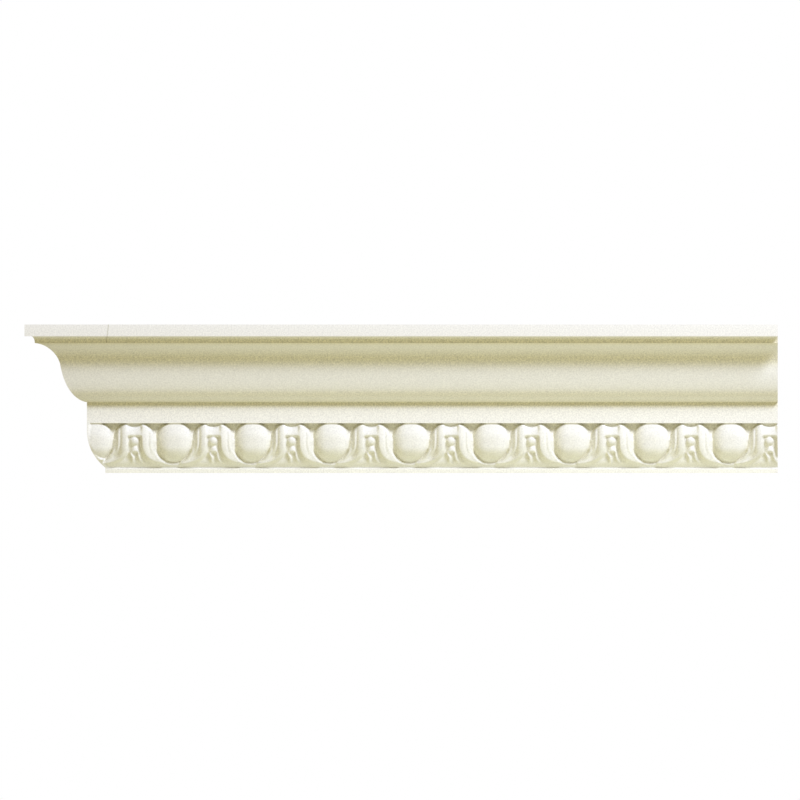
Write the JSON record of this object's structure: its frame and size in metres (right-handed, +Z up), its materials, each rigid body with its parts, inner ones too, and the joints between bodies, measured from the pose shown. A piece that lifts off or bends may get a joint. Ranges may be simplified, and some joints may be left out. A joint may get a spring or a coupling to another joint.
{
  "type": "cornice moulding",
  "caption": "Length of crown cornice with a cyma, plain fascia and egg-and-dart band, mitred at the left end and square at the right, fixed between wall and ceiling.",
  "frame": {"origin": "middle of the flat that rests on the wall", "axes": "+X along the cornice towards its square end, +Y into the wall, +Z up to the ceiling"},
  "size_m": [0.568, 0.0694, 0.112],
  "materials": {
    "cast_polyurethane": "matte off-white factory primer on cast foam, with a faint grain"
  },
  "bodies": {
    "root": {"cornice_moulding": "cast_polyurethane"}
  },
  "joints": []
}
